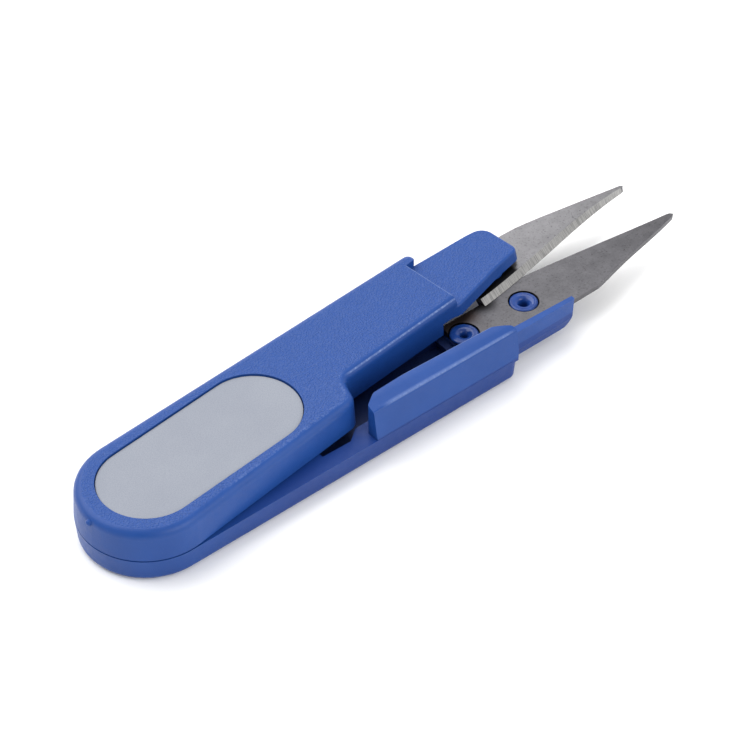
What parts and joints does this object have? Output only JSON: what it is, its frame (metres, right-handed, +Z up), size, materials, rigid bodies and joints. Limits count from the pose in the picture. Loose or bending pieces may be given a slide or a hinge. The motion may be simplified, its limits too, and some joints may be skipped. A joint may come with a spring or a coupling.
{
  "type": "thread snips",
  "caption": "Spring-opened thread snips with interlocking plastic handles, crossed steel blades and obround inlays",
  "frame": {"origin": "on the pivot axis, in the plane the snips rest on", "axes": "+X along the lower handle from the pivot to the blade tips, +Y the side the upper handle opens to, +Z up along the pivot axis"},
  "size_m": [0.1226, 0.0294, 0.0103],
  "materials": {
    "handle_plastic": "blue moulding, fine leather grain on the flat faces and smooth satin sides",
    "stake_plastic": "blue, glossy",
    "inlay_plastic": "pale grey-blue, fine matte grain",
    "blade_steel": "satin steel, with fine grinding marks across the bevel",
    "rivet_steel": "plain zinc-plated steel",
    "washer_nylon": "natural nylon",
    "spring_steel": "drawn spring wire"
  },
  "bodies": {
    "lower_half": {"lower_handle": "handle_plastic", "lower_blade": "blade_steel", "lower_inlay": "inlay_plastic", "lower_front_stake": "stake_plastic", "lower_rear_stake": "stake_plastic", "pivot_rivet": "rivet_steel", "pivot_washer": "washer_nylon", "return_spring": "spring_steel"},
    "upper_half": {"upper_handle": "handle_plastic", "upper_blade": "blade_steel", "upper_inlay": "inlay_plastic", "upper_front_stake": "stake_plastic", "upper_rear_stake": "stake_plastic"}
  },
  "joints": [
    {"name": "pivot_hinge", "type": "hinge", "parent": "lower_half", "child": "upper_half", "pos_m": [0, 0, 0.005], "axis": [0, 0, -1], "range_deg": [0, 6.6], "stiffness_Nm_per_rad": 1.5, "springref_deg": -2.01, "deforming": ["return_spring"]}
  ]
}
